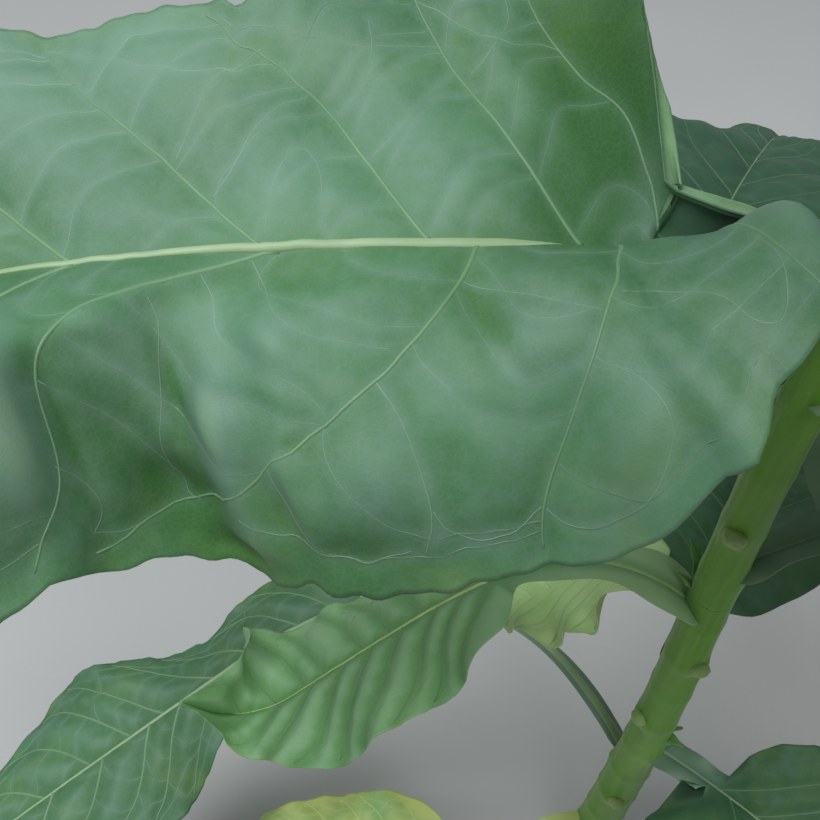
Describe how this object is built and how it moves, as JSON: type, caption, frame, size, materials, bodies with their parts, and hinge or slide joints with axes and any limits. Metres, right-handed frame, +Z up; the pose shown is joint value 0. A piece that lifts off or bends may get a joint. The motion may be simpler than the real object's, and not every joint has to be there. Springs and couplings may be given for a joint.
{
  "type": "tobacco plant",
  "caption": "Whole tobacco plant in leaf, one upright green stem with large broad leaves in a spiral, rooted in level ground to fill a crop row or a garden bed.",
  "frame": {"origin": "middle of the stem's flat cut at ground level", "axes": "+Z up along the stem; -X is the way the broad leaf points, and -Y is towards the viewer of the picture"},
  "size_m": [0.936, 0.6759, 1.0874],
  "materials": {
    "stem": "satin",
    "leaf": "matte",
    "old_leaf": "matte",
    "young_leaf": "matte"
  },
  "bodies": {
    "root": {"stem": "stem", "leaf_01": "old_leaf", "leaf_04": "leaf", "leaf_05": "leaf", "leaf_07": "leaf", "leaf_09": "leaf", "leaf_10": "leaf", "leaf_12": "leaf", "leaf_13": "leaf", "broad_leaf": "leaf", "leaf_15": "leaf", "leaf_16": "leaf", "leaf_17": "leaf", "leaf_18": "leaf", "leaf_19": "leaf", "side_shoot_leaf": "old_leaf", "shoot_tip": "young_leaf"}
  },
  "joints": []
}
